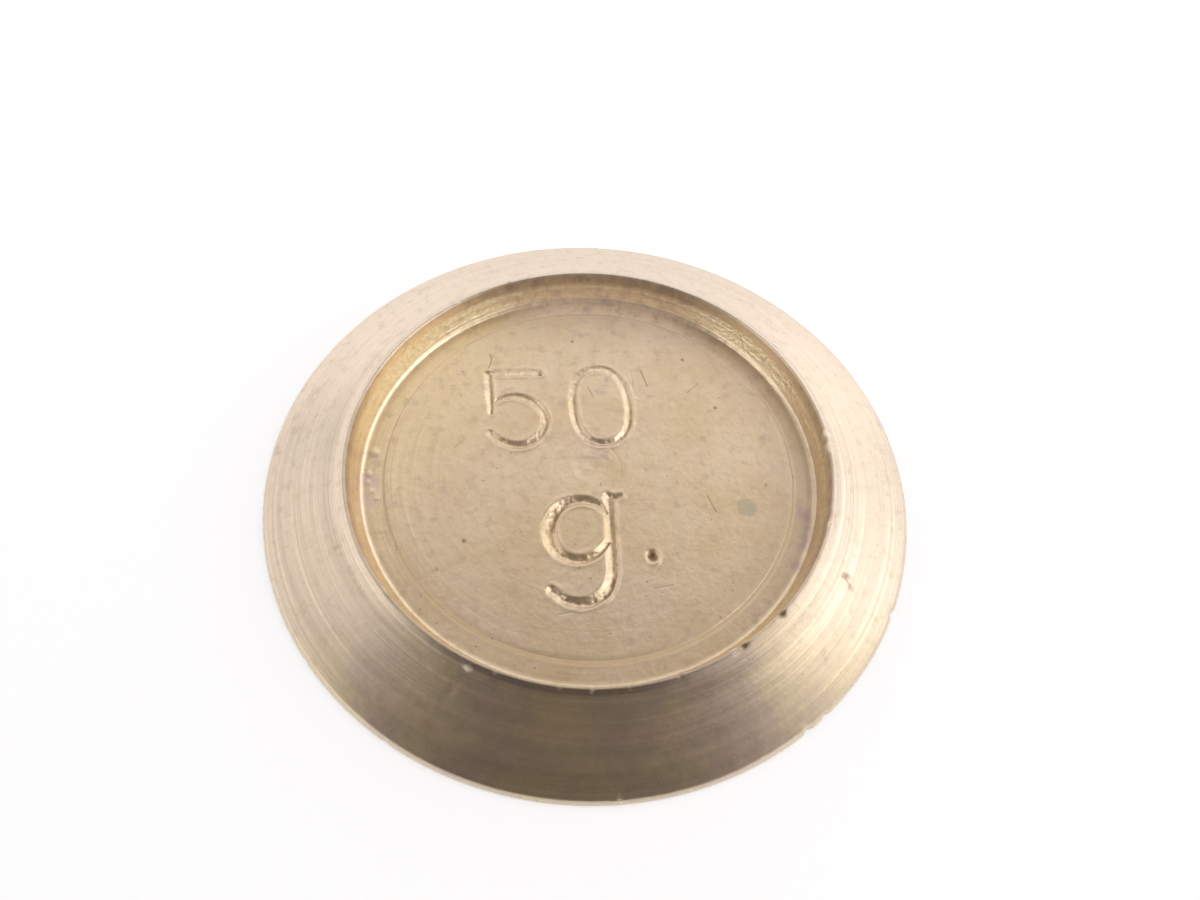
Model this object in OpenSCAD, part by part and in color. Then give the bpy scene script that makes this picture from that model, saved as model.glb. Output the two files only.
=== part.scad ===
// A flat, turned brass weight for a balance: a low truncated cone with a
// shallow recess in its top, where the next smaller weight of the set stands.
// Millimetres. Z is up, and the origin is the centre of the underside.

/* [Body] */
// Diameter of the underside
base_d = 62; // [54:0.5:72]
// Height from the underside to the rim
body_h = 4.4; // [3.8:0.1:5.4]
// Upright land round the foot of the slope
land_h = 0.25; // [0.1:0.05:0.6]
// Radius that wear has left on the bottom edge
base_edge_r = 0.1; // [0.04:0.02:0.1]

/* [Rim] */
// Diameter of the recess at its mouth
mouth_d = 45.7; // [43.5:0.1:50]
// Narrow flat left on top of the rim
rim_land_w = 0.15; // [0.05:0.05:0.5]
// Width of the bevel between the rim and the slope, seen from above
bevel_w = 0.6; // [0.3:0.05:1.2]
// Height of that bevel
bevel_h = 0.45; // [0.2:0.05:0.7]

/* [Recess] */
// Thickness left under the outer ring of the recess
floor_t = 1.3; // [1.2:0.05:2]
// Width of the lead-in at the top of the recess wall, seen from above
lead_in_w = 0.6; // [0.3:0.05:1]
// Depth of that lead-in
lead_in_h = 1.15; // [0.6:0.05:1.4]
// How far the recess wall leans inwards on its way down
wall_lean = 0.25; // [0.05:0.05:0.5]
// Radius in the corner between the wall and the floor
floor_corner_r = 0.3; // [0.1:0.05:0.4]

/* [Seat] */
// Diameter of the raised disc that the next weight stands on
seat_d = 39.1; // [34:0.1:41]
// Height of the disc above the outer ring
seat_rise = 0.4; // [0.2:0.05:0.6]
// Width of the sloping edge of the disc, seen from above
seat_edge_w = 0.25; // [0.1:0.05:0.5]
// Diameter of the fine ring that the facing tool left round the middle
facing_ring_d = 6.3; // [4:0.1:10]
// Width of that ring
facing_ring_w = 0.3; // [0.2:0.05:0.6]
// Depth of that ring
facing_ring_depth = 0.05; // [0.03:0.01:0.12]
// Diameter of the turning pip in the middle
pip_d = 0.9; // [0.5:0.05:1.5]
// Height of the pip
pip_h = 0.14; // [0.05:0.01:0.3]

/* [Adjusting hole] */
// Diameter of the hole at its mouth in the underside
hole_d = 7; // [5:0.1:10]
// Depth of the hole
hole_depth = 1.1; // [0.9:0.05:1.2]
// Depth of the straight neck, before the hole widens
neck_h = 0.4; // [0.2:0.05:0.6]
// How far the chamber behind the neck is undercut
undercut = 0.4; // [0.2:0.05:0.8]
// How far the lead plug stays back from the underside
plug_inset = 0.15; // [0.05:0.05:0.3]

/* [Hidden] */

round_fn = 240;
corner_steps = 8;

base_r = base_d / 2;
mouth_r = mouth_d / 2;
rim_r = mouth_r + rim_land_w;
bevel_r = rim_r + bevel_w;
bevel_z = body_h - bevel_h;

wall_top_r = mouth_r - lead_in_w;
wall_top_z = body_h - lead_in_h;
wall_foot_r = wall_top_r - wall_lean;

seat_r = seat_d / 2;
seat_z = floor_t + seat_rise;
seat_foot_r = seat_r + seat_edge_w;

ring_in_r = (facing_ring_d - facing_ring_w) / 2;
ring_out_r = (facing_ring_d + facing_ring_w) / 2;
pip_r = pip_d / 2;

hole_r = hole_d / 2;
chamber_r = hole_r + undercut;

// The fillet touches both the floor and the leaning wall.
lean_angle = atan2(wall_lean, wall_top_z - floor_t);
corner_turn = 90 - lean_angle;
corner_reach = floor_corner_r * tan(corner_turn / 2);
corner_r = wall_foot_r - corner_reach;
corner_z = floor_t + floor_corner_r;

// Points along an arc in the profile plane, from angle a0 to angle a1.
function arc(cx, cz, r, a0, a1) = [
    for (i = [0 : corner_steps])
        let (a = a0 + (a1 - a0) * i / corner_steps)
            [cx + r * cos(a), cz + r * sin(a)]
];

// Half section of the whole turning, from the middle of the underside,
// out round the foot, up the slope, over the rim and back along the recess.
module body_section() {
    polygon(concat(
        [[0, 0]],
        arc(base_r - base_edge_r, base_edge_r, base_edge_r, -90, 0),
        [
            [base_r, land_h],
            [bevel_r, bevel_z],
            [rim_r, body_h],
            [mouth_r, body_h],
            [wall_top_r, wall_top_z]
        ],
        arc(corner_r, corner_z, floor_corner_r, -lean_angle, -90),
        [
            [seat_foot_r, floor_t],
            [seat_r, seat_z],
            [ring_out_r, seat_z],
            [facing_ring_d / 2, seat_z - facing_ring_depth],
            [ring_in_r, seat_z],
            [pip_r, seat_z],
            [0, seat_z + pip_h]
        ]
    ));
}

// The undercut hole, drawn from a given height so that the cut can start
// below the underside and the plug can start inside it.
module hole_form(start_z) {
    translate([0, 0, start_z])
        cylinder(h = neck_h - start_z, r = hole_r, $fn = round_fn);
    translate([0, 0, neck_h])
        cylinder(h = hole_depth - neck_h, r = chamber_r, $fn = round_fn);
}

module weight_body() {
    cut_past = 1;
    color([0.77, 0.66, 0.50])
        difference() {
            rotate_extrude($fn = round_fn)
                body_section();
            hole_form(-cut_past);
        }
}

module adjusting_plug() {
    color([0.42, 0.43, 0.45])
        hole_form(plug_inset);
}

weight_body();
adjusting_plug();
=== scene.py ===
import math
import bmesh
import bpy
import numpy as np
from mathutils import Matrix, Vector, noise


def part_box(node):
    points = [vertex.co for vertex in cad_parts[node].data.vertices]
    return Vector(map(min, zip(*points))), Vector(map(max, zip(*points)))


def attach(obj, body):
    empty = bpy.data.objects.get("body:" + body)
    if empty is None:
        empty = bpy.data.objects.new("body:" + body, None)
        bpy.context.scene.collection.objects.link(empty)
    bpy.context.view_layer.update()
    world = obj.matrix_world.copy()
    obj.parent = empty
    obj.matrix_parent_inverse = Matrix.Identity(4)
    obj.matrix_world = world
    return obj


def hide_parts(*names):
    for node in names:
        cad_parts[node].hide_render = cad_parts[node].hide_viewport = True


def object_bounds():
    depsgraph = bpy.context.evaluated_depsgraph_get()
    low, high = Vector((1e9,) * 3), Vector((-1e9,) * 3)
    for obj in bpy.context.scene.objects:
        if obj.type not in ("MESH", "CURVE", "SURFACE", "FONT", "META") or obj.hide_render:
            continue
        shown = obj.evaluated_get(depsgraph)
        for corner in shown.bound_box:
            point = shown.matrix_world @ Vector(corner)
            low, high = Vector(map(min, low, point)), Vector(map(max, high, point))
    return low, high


# A flat turned brass weight with its value stamped in the recess.
# Sizes are in millimetres and become metres when a mesh is finished.
# +X runs along the stamped line, -Y points to the viewer, +Z is up.
mm = 0.001

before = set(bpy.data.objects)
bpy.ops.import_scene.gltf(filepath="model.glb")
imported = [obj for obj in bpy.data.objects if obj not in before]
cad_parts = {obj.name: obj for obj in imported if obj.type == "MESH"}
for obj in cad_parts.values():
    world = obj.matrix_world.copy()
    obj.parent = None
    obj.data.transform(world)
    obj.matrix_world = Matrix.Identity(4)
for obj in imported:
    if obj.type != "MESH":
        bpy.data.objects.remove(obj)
cadLow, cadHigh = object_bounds()
plugLow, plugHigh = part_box("adjusting_plug")
print("frame loaded:", sorted(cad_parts))


class Signal:
    # One socket of a node tree. Python sums on it add Math nodes to the tree.
    def __init__(self, tree, socket=None):
        self.tree = tree
        self.socket = socket

    def node(self, kind, settings=None, inputs=None, out=0):
        made = self.tree.nodes.new(kind)
        for name, value in (settings or {}).items():
            setattr(made, name, value)
        for name, value in (inputs or {}).items():
            if isinstance(value, Signal):
                self.tree.links.new(value.socket, made.inputs[name])
            else:
                made.inputs[name].default_value = value
        return Signal(self.tree, made.outputs[out])

    def math(self, operation, *values, clamp=False):
        settings = {"operation": operation, "use_clamp": clamp}
        return self.node("ShaderNodeMath", settings, dict(enumerate(values)))

    def __add__(self, other):
        return self.math("ADD", self, other)

    def __radd__(self, other):
        return self.math("ADD", other, self)

    def __sub__(self, other):
        return self.math("SUBTRACT", self, other)

    def __rsub__(self, other):
        return self.math("SUBTRACT", other, self)

    def __mul__(self, other):
        return self.math("MULTIPLY", self, other)

    def __rmul__(self, other):
        return self.math("MULTIPLY", other, self)

    def __truediv__(self, other):
        return self.math("DIVIDE", self, other)

    def root(self):
        return self.math("SQRT", self)

    def absolute(self):
        return self.math("ABSOLUTE", self)

    def larger(self, other):
        return self.math("MAXIMUM", self, other)

    def clamped(self):
        return self.math("ADD", self, 0.0, clamp=True)

    def rise(self, low, high):
        # 0 below low, 1 above high, smooth between. With low above high it falls instead.
        return self.node("ShaderNodeMapRange", {"interpolation_type": "SMOOTHSTEP"},
                         {"Value": self, "From Min": low, "From Max": high})

    def tint(self, low, high):
        # A colour between two, with this socket as the factor.
        return self.node("ShaderNodeMix", {"data_type": "RGBA"}, {0: self, 6: low, 7: high}, 2)

    def shaded(self, colour):
        # A colour made darker or lighter by this socket.
        return self.node("ShaderNodeVectorMath", {"operation": "SCALE"}, {0: colour, "Scale": self})


def rgb(r, g, b):
    return (r, g, b, 1.0)


def newMaterial(name):
    material = bpy.data.materials.new(name)
    material.use_nodes = True
    tree = material.node_tree
    return material, Signal(tree), tree.nodes["Principled BSDF"]


def finishMesh(bm, name, material):
    bmesh.ops.scale(bm, vec=(mm, mm, mm), verts=bm.verts[:])
    mesh = bpy.data.meshes.new(name)
    bm.to_mesh(mesh)
    bm.free()
    mesh.materials.append(material)
    piece = bpy.data.objects.new(name, mesh)
    bpy.context.scene.collection.objects.link(piece)
    print(name, "has", sum(len(p.vertices) - 2 for p in mesh.polygons), "triangles")
    return piece


def shadeByAngle(bm, angle):
    for face in bm.faces:
        face.smooth = True
    limit = math.radians(angle)
    for edge in bm.edges:
        edge.smooth = len(edge.link_faces) != 2 or edge.calc_face_angle(0) < limit


# Turned body, measured as radius and height. The outside comes from the frame.
bodySet = {
    "baseRadius": cadHigh.x / mm,
    "height": cadHigh.z / mm,
    "footWidth": 0.3,
    "footHeight": 0.46,
    "mouthRadius": 22.85,
    "rimLand": 0.15,
    "bevelWidth": 0.6,
    "bevelHeight": 0.45,
    "lipWidth": 0.14,
    "lipDepth": 0.08,
    "leadInWidth": 0.30,
    "leadInDepth": 1.05,
    "wallLean": 0.22,
    "wallDepth": 0.75,
    "slopeWidth": 0.50,
    "floorHeight": 1.3,
    "floorCorner": 0.4,
    "seatRadius": 19.55,
    "seatRise": 0.4,
    "seatEdge": 0.25,
    "holeRadius": 3.5,
    "chamberRadius": 3.9,
    "neckHeight": 0.4,
    "holeDepth": 1.1,
    "patchRadius": 17.2,
    "turns": 480,
    "rowStep": 0.68,
    "ringStep": 0.3,
    "plainStep": 3.0,
    "ringEnd": 22.0,
    "longEdge": 1.0,
    "tiny": 0.001,
    "markReaches": (1.1, 0.55),
    "knockMargin": 0.1,
    "shortestEdge": 0.16,
    "crease": 50,
}


def bodyProfile(s):
    # Corners of the half section from the hole's roof to the seat: radius, height,
    # and how far from the corner its rounding starts.
    top = s["height"]
    wallTop = s["mouthRadius"] - s["leadInWidth"]
    slopeTop = wallTop - s["wallLean"]
    wallFoot = slopeTop - s["slopeWidth"]
    seat = s["floorHeight"] + s["seatRise"]
    bevel = s["mouthRadius"] + s["rimLand"] + s["bevelWidth"]
    return [
        (0.0, s["holeDepth"], 0.0),
        (s["chamberRadius"], s["holeDepth"], 0.0),
        (s["chamberRadius"], s["neckHeight"], 0.0),
        (s["holeRadius"], s["neckHeight"], 0.0),
        (s["holeRadius"], 0.0, 0.08),
        (s["baseRadius"] - 0.5, 0.0, 0.0),
        (s["baseRadius"], 0.0, 0.09),
        (s["baseRadius"], 0.12, 0.06),
        (s["baseRadius"] - s["footWidth"], s["footHeight"], 0.10),
        (bevel, top - s["bevelHeight"], 0.34),
        (s["mouthRadius"] + s["rimLand"], top, 0.06),
        (s["mouthRadius"], top, 0.05),
        (s["mouthRadius"] - s["lipWidth"], top - s["lipDepth"], 0.10),
        (wallTop, top - s["leadInDepth"], 0.12),
        (slopeTop, top - s["leadInDepth"] - s["wallDepth"], 0.5),
        (wallFoot, s["floorHeight"], s["floorCorner"]),
        (s["seatRadius"] + s["seatEdge"], s["floorHeight"], 0.06),
        (s["seatRadius"], seat, 0.09),
        (s["patchRadius"], seat, 0.0),
    ]


def spunBody(s):
    bm = bmesh.new()
    corners = bodyProfile(s)
    points = [bm.verts.new((r, 0, z)) for r, z, rounding in corners]
    for pair in zip(points, points[1:]):
        bm.edges.new(pair)
    for vert, (r, z, rounding) in zip(points, corners):
        if rounding:
            bmesh.ops.bevel(bm, geom=[vert], offset=rounding, offset_type="OFFSET", segments=4,
                            profile=0.5, affect="VERTICES", material=-1)
    for edge in bm.edges[:]:
        inner, outer = sorted(v.co.x for v in edge.verts)
        height = max(v.co.z for v in edge.verts)
        step = s["rowStep"]
        if height < s["tiny"] or outer < s["chamberRadius"] + s["tiny"]:
            step = s["plainStep"]  # the underside and the roof of the hole
        elif s["seatRadius"] < inner < s["ringEnd"] and height < s["floorHeight"] + 0.01:
            step = s["ringStep"]  # fine enough for the edges of the stains
        length = edge.calc_length()
        if length > s["longEdge"]:
            bmesh.ops.subdivide_edges(bm, edges=[edge], cuts=int(length / step))
    bmesh.ops.spin(bm, geom=bm.verts[:] + bm.edges[:], cent=(0, 0, 0), axis=(0, 0, 1),
                   angle=2 * math.pi, steps=s["turns"], use_merge=True, use_duplicate=False)
    bmesh.ops.remove_doubles(bm, verts=bm.verts[:], dist=1e-4)
    return bm


def fillSeat(bm):
    # The flat middle of the seat becomes a grid, so that the punches can mark it.
    quarter = []
    for e in bm.edges:
        middle = (e.verts[0].co + e.verts[1].co) / 2
        if e.is_boundary and abs(middle.y) > abs(middle.x):
            quarter.append(e)
    bmesh.ops.grid_fill(bm, edges=quarter, mat_nr=0, use_smooth=True, use_interp_simple=False)


def refine(bm, wanted, shortest=0.0):
    # Splits the edges whose two ends are both wanted.
    verts = bm.verts[:]
    chosen = {v for v, w in zip(verts, wanted(np.array([v.co for v in verts]))) if w}
    edges = [e for e in bm.edges if e.verts[0] in chosen and e.verts[1] in chosen
             and e.calc_length() > shortest]
    bmesh.ops.subdivide_edges(bm, edges=edges, cuts=1, use_grid_fill=True)


# What the facing tool left in the middle of the seat.
centreSet = {
    "middle": (-0.2, -0.2),
    "wobble": 0.03,
    "pipRadius": 0.45,
    "pipHeight": 0.03,
    "bowlRadius": 1.5,
    "bowlWall": 0.7,
    "bowlDepth": 0.05,
    "ringRadius": 3.15,
    "ringWidth": 0.16,
    "ringDepth": 0.024,
}

# Marks punched into the seat. Each stroke is a smooth line through its points,
# with its groove width along the way. One depth serves a whole character.
stampSet = {
    "five": {
        "depth": 0.17, "lean": (0.62, -0.12), "tip": 0.5, "level": 7.0,
        "strokes": [
            {"points": [(-10.25, 11.35), (-8.4, 11.40), (-6.5, 11.48), (-4.95, 11.45)],
             "widths": [0.8, 0.9, 0.9, 0.8], "depth": 0.12},
            {"points": [(-10.25, 11.30), (-10.08, 9.6), (-9.92, 8.0), (-9.80, 6.35)],
             "widths": [0.8, 0.8, 0.75, 0.5], "depth": 0.28},
            {"points": [(-9.45, 7.75), (-8.35, 8.35), (-7.0, 8.40), (-5.65, 7.75), (-4.65, 6.50),
                        (-4.42, 5.10), (-4.95, 3.70), (-6.0, 2.75), (-7.2, 2.50), (-8.4, 2.85),
                        (-9.2, 3.35), (-9.75, 3.95)],
             "widths": [0.4, 0.65, 0.8, 0.85, 0.85, 0.85, 0.9, 0.95, 0.95, 0.85, 0.8, 0.75]},
        ],
    },
    "zero": {
        "depth": 0.20, "lean": (0.62, -0.05), "tip": 0.55, "level": 7.4,
        "centre": (1.18, 7.38),
        "halfWidth": 2.80,
        "halfHeight": 4.62,
        "squareness": 2.35,
        "tilt": 4.5,
        "width": 0.82,
        "points": 40,
    },
    "unit": {
        "depth": 0.34, "lean": (0.60, -0.28), "tip": 0.0, "level": 0.0,
        "strokes": [
            {"points": [(1.25, -5.00), (0.35, -4.05), (-1.20, -3.70), (-2.90, -4.30), (-3.95, -5.85),
                        (-4.05, -7.65), (-3.20, -9.25), (-1.55, -9.95), (0.15, -9.45), (1.35, -8.15)],
             "widths": [0.75, 0.95, 1.05, 1.2, 1.35, 1.35, 1.2, 1.05, 0.9, 0.75]},
            {"points": [(1.55, -3.35), (1.58, -6.3), (1.62, -9.2), (1.55, -11.6), (0.85, -13.25),
                        (-0.75, -14.15), (-2.50, -13.95), (-3.85, -12.95)],
             "widths": [1.1, 1.05, 1.05, 1.1, 1.15, 1.15, 1.05, 1.0]},
            {"points": [(1.50, -3.45), (2.10, -3.38), (2.75, -3.20)],
             "widths": [0.9, 0.75, 0.5]},
        ],
    },
    "stop": {
        "depth": 0.42, "lean": (0.36, 0.32), "tip": 0.0, "level": 0.0,
        "strokes": [
            {"points": [(5.30, -9.55), (5.34, -9.65), (5.36, -9.75)],
             "widths": [1.15, 1.25, 1.15]},
        ],
    },
}

# Scratches across the seat: points, width, depth, and how dark the groove has gone.
scratchSet = [
    ([(-11.1, 15.2), (-10.4, 14.3), (-9.92, 13.5), (-9.93, 12.7), (-10.2, 12.0)], 0.14, 0.03, 0.8),
    ([(4.5, 11.7), (4.6, 9.3)], 0.16, 0.04, 0.1),
    ([(5.5, 11.8), (6.1, 9.7)], 0.15, 0.04, 0.9),
    ([(0.0, 9.6), (0.5, 8.4)], 0.14, 0.02, 0.7),
    ([(11.0, -3.3), (11.7, -5.1)], 0.15, 0.04, 0.7),
    ([(-3.2, -15.3), (0.3, -14.5)], 0.18, 0.02, 0.4),
    ([(-8.2, -16.8), (-6.2, -16.6)], 0.15, 0.02, 0.4),
    ([(5.3, -12.9), (7.0, -12.6)], 0.15, 0.02, 0.4),
    ([(10.1, 8.9), (11.4, 10.1)], 0.14, 0.03, 0.5),
    ([(-13.2, 2.1), (-12.2, 3.4)], 0.13, 0.02, 0.4),
]

# Stains and small pits on the seat and the ring round it: x, y, reach, strength.
stainSet = {
    "violet": [
        (-20.9, 1.8, 0.9, 0.8), (-21.0, -1.6, 1.2, 1.0), (-20.9, -3.3, 1.3, 1.0), (-20.8, -5.5, 0.8, 0.8),
        (20.3, -5.2, 1.2, 0.9), (20.0, -7.2, 1.3, 1.0), (19.6, -9.2, 1.3, 0.9), (18.9, -11.2, 1.1, 0.8),
        (17.5, 11.0, 0.9, 0.9), (0.3, 20.4, 1.9, 0.7), (2.6, 20.6, 1.7, 0.7), (-2.0, 3.3, 1.2, 0.6),
        (0.9, 2.1, 1.4, 0.8), (1.3, 9.6, 1.3, 0.7), (-1.6, -15.0, 0.9, 0.6), (-7.2, -16.7, 0.8, 0.6),
        (6.1, -12.75, 0.7, 0.6), (-14.2, -3.0, 1.0, 0.5), (10.5, 9.5, 0.9, 0.4), (-18.4, -4.4, 0.8, 0.5),
        (1.5, 18.6, 4.2, 0.34), (-3.0, 16.5, 3.0, 0.3), (7.5, 17.0, 3.2, 0.3), (13.8, 12.8, 3.0, 0.3),
    ],
    "pit": [
        (15.3, -9.1, 0.34, 1.0), (-11.8, -8.0, 0.28, 0.8), (17.2, 5.6, 0.26, 0.8), (21.0, -0.7, 0.30, 0.9),
        (20.0, -1.8, 0.26, 0.8), (14.7, -13.8, 0.28, 0.9), (-4.9, 11.2, 0.24, 0.9), (5.34, -9.6, 0.4, 0.9),
        (12.8, 7.0, 0.22, 0.6), (-15.8, 8.2, 0.2, 0.6), (-17.0, 3.0, 0.22, 0.6),
        (3.2, -17.6, 0.22, 0.7), (-1.5, 15.6, 0.22, 0.5), (10.0, 13.2, 0.22, 0.6), (16.9, -2.2, 0.22, 0.7),
        (17.4, 0.2, 0.2, 0.6), (17.9, -1.4, 0.18, 0.6), (-16.4, 12.3, 0.25, 0.6), (-12.9, 15.2, 0.2, 0.5),
    ],
    "pale": [
        (-1.55, 0.3, 0.45, 0.5), (-1.35, -0.6, 0.4, 0.4), (4.9, 8.3, 0.25, 0.8), (-9.9, 4.1, 0.3, 0.5),
    ],
    "verdigris": [(14.7, -4.6, 1.0, 1.0)],
}


def curveThrough(points, widths, steps=9):
    # Catmull-Rom curve: returns rows of x, y, half width.
    rows = [Vector((p[0], p[1], w * 0.5)) for p, w in zip(points, widths)]
    rows = [rows[0] * 2 - rows[1]] + rows + [rows[-1] * 2 - rows[-2]]
    out = []
    for a, b, c, d in zip(rows, rows[1:], rows[2:], rows[3:]):
        for k in range(steps):
            t = k / steps
            out.append((b * 2 + (c - a) * t + (a * 2 - b * 5 + c * 4 - d) * t * t
                        + (b * 3 - a - c * 3 + d) * t ** 3) * 0.5)
    out.append(rows[-2])
    return np.array(out)


def zeroLoop(zero):
    # A squarish oval, walked all the way round.
    rows = []
    tilt = math.radians(zero["tilt"])
    power = 2 / zero["squareness"]
    for k in range(zero["points"] + 1):
        a = 2 * math.pi * k / zero["points"]
        x = zero["halfWidth"] * math.copysign(abs(math.cos(a)) ** power, math.cos(a))
        y = zero["halfHeight"] * math.copysign(abs(math.sin(a)) ** power, math.sin(a))
        rows.append((zero["centre"][0] + x * math.cos(tilt) - y * math.sin(tilt),
                     zero["centre"][1] + x * math.sin(tilt) + y * math.cos(tilt),
                     zero["width"] * 0.5))
    return np.array(rows)


def stampPaths():
    paths = []
    for mark in stampSet.values():
        blow = {key: mark[key] for key in ("depth", "lean", "tip", "level")}
        if "strokes" in mark:
            for stroke in mark["strokes"]:
                path = curveThrough(stroke["points"], stroke["widths"])
                paths.append({**blow, "path": path, "depth": stroke.get("depth", mark["depth"])})
        else:
            paths.append({**blow, "path": zeroLoop(mark)})
    return paths


def scratchPath(points, width):
    return np.array([(x, y, width * 0.5) for x, y in points])


def strokeDistance(xy, path):
    # Way from the stroke's centre line to each point, its length, and the half width there.
    best = np.full(len(xy), 1e9)
    half = np.full(len(xy), 0.1)
    offset = np.zeros((len(xy), 2))
    for a, b in zip(path, path[1:]):
        d = b[:2] - a[:2]
        t = np.clip(((xy - a[:2]) @ d) / max(d @ d, 1e-9), 0, 1)
        way = xy - a[:2] - t[:, None] * d
        gap = np.linalg.norm(way, axis=1)
        closer = gap < best
        best = np.where(closer, gap, best)
        half = np.where(closer, a[2] + (b[2] - a[2]) * t, half)
        offset = np.where(closer[:, None], way, offset)
    return best, half, offset


def leaningGroove(offset, half, lean):
    # 0 at the groove's edge and 1 at its bottom, which lies off centre because the punch leant.
    apex = half[:, None] * np.array(lean)
    way = offset - apex
    length = np.maximum(np.linalg.norm(way, axis=1), 1e-9)
    step = way / length[:, None]
    along = np.sum(apex * step, axis=1)
    reach = -along + np.sqrt(np.maximum(along ** 2 - np.sum(apex ** 2, axis=1) + half ** 2, 0))
    return np.clip(1 - length / np.maximum(reach, 1e-9), 0, 1)


def ripple(xy, scale, seed):
    return np.array([noise.noise(Vector((x * scale, y * scale, seed))) for x, y in xy])


def onSeat(xyz):
    return (np.hypot(xyz[:, 0], xyz[:, 1]) < bodySet["patchRadius"]) & (xyz[:, 2] > bodySet["floorHeight"])


def nearStrokes(paths, reach):
    def wanted(xyz):
        near = np.zeros(len(xyz), bool)
        flat = onSeat(xyz)
        for stroke in paths:
            gap, half, offset = strokeDistance(xyz[flat][:, :2], stroke["path"])
            near[flat] |= gap < half + reach
        for points, width, depth, dark in scratchSet:
            gap, half, offset = strokeDistance(xyz[flat][:, :2], scratchPath(points, width))
            near[flat] |= gap < reach * 0.5
        for x, y, size, strength in stainSet["pit"]:
            near[flat] |= np.hypot(xyz[flat][:, 0] - x, xyz[flat][:, 1] - y) < size + reach * 0.4
        middle = np.hypot(xyz[:, 0] - centreSet["middle"][0], xyz[:, 1] - centreSet["middle"][1])
        near |= flat & (np.abs(middle - centreSet["ringRadius"]) < reach * 0.6)
        near |= flat & (middle < centreSet["bowlRadius"] + reach * 0.4)
        return near
    return wanted


punchSet = {
    "burrHeight": 0.05,
    "burrOffset": 0.18,
    "burrSpread": 0.20,
    "burrSide": (0.8, -0.6),
    "wander": 0.9,
    "chatter": 0.11,
    "tipReach": 4.5,  # half a digit's height, over which a leaning blow changes its depth
    "flatBottom": 1.12,
    "fullHalfWidth": 0.42,  # a narrower stroke is shallower
    "dirtStart": 0.60,
    "dirtRise": 0.25,
    "dirtPerDepth": 2.4,
    "dirtLoss": 0.1,
    "struckReach": 1.5,
    "pitDepth": 0.10,
}

# Values kept at each vertex, which the brass reads.
layerNames = ("grime", "wearAndHighlight", "struck", "bevelShade", "dullAndLit", "violet", "verdigris")


def punch(bm, paths, layers):
    s = punchSet
    c = centreSet
    verts = [v for v in bm.verts
             if math.hypot(v.co.x, v.co.y) < bodySet["patchRadius"] and v.co.z > bodySet["floorHeight"]]
    xy = np.array([(v.co.x, v.co.y) for v in verts])
    wander = 1 + s["wander"] * ripple(xy, 1.1, 3.0)
    chatter = 1 + 2 * s["chatter"] * ripple(xy, 2.3, 9.0)
    sink, swelling, grime, struck = [np.zeros(len(verts)) for k in range(4)]
    for stroke in paths:
        gap, half, offset = strokeDistance(xy, stroke["path"])
        inside = leaningGroove(offset, half, stroke["lean"])
        depth = stroke["depth"] * (1 + stroke["tip"] * (stroke["level"] - xy[:, 1]) / s["tipReach"])
        groove = depth * np.minimum(inside * s["flatBottom"], 1) * np.minimum(half / s["fullHalfWidth"], 1)
        sink = np.maximum(sink, groove * chatter)
        outside = gap - half - s["burrOffset"]
        side = 0.3 + 0.7 * np.clip(offset @ np.array(s["burrSide"]) / np.maximum(gap, 1e-6), 0, 1)
        swell = s["burrHeight"] * side * np.exp(-(outside / s["burrSpread"]) ** 2) * wander * chatter
        swelling = np.maximum(swelling, np.where(gap > half, swell, 0))
        dirt = np.clip((inside - s["dirtStart"]) / s["dirtRise"], 0, 1) * np.clip(wander, 0.4, 1.2)
        grime = np.maximum(grime, dirt * np.clip(depth * s["dirtPerDepth"] - s["dirtLoss"], 0, 1))
        struck = np.maximum(struck, np.clip(s["struckReach"] - gap / half, 0, 1))
    swelling *= np.clip(1 - sink / s["burrHeight"], 0, 1)
    for points, width, depth, dark in scratchSet:
        gap, half, offset = strokeDistance(xy, scratchPath(points, width))
        cut = np.clip(1 - gap / half, 0, 1)
        sink = np.maximum(sink, depth * cut)
        grime = np.maximum(grime, dark * cut)
    for x, y, size, strength in stainSet["pit"]:
        ragged = 1 + 0.4 * chatter - 0.4
        cut = np.clip(1.2 - np.hypot(xy[:, 0] - x, xy[:, 1] - y) / size * ragged, 0, 1)
        sink = sink + s["pitDepth"] * strength * cut * cut
        grime = np.maximum(grime, strength * cut)
    fromMiddle = np.hypot(xy[:, 0] - c["middle"][0], xy[:, 1] - c["middle"][1])
    fromMiddle = fromMiddle * (1 + c["wobble"] * ripple(xy, 0.5, 5.0))
    swelling += c["pipHeight"] * np.clip(1 - fromMiddle / c["pipRadius"], 0, 1)
    sink += c["bowlDepth"] * np.clip((c["bowlRadius"] - fromMiddle) / c["bowlWall"], 0, 1)
    ringSide = np.clip(0.4 + 0.2 * (xy[:, 0] - c["middle"][0]), 0.1, 1)  # deeper on the right
    ring = np.exp(-((fromMiddle - c["ringRadius"]) / c["ringWidth"]) ** 2)
    sink += c["ringDepth"] * ringSide * ring
    wearAndHighlight = np.minimum(swelling / 0.2, 1)
    for x, y, size, strength in stainSet["pale"]:
        pale = np.clip(1.3 - np.hypot(xy[:, 0] - x, xy[:, 1] - y) / size, 0, 1)
        wearAndHighlight = np.maximum(wearAndHighlight, strength * pale)
    for v, rise, dirt, pale, hit in zip(verts, swelling - sink, grime, wearAndHighlight, struck):
        v.co.z += rise
        v[layers["grime"]] = float(dirt)
        v[layers["wearAndHighlight"]] = float(pale)
        v[layers["struck"]] = float(hit)


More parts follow.
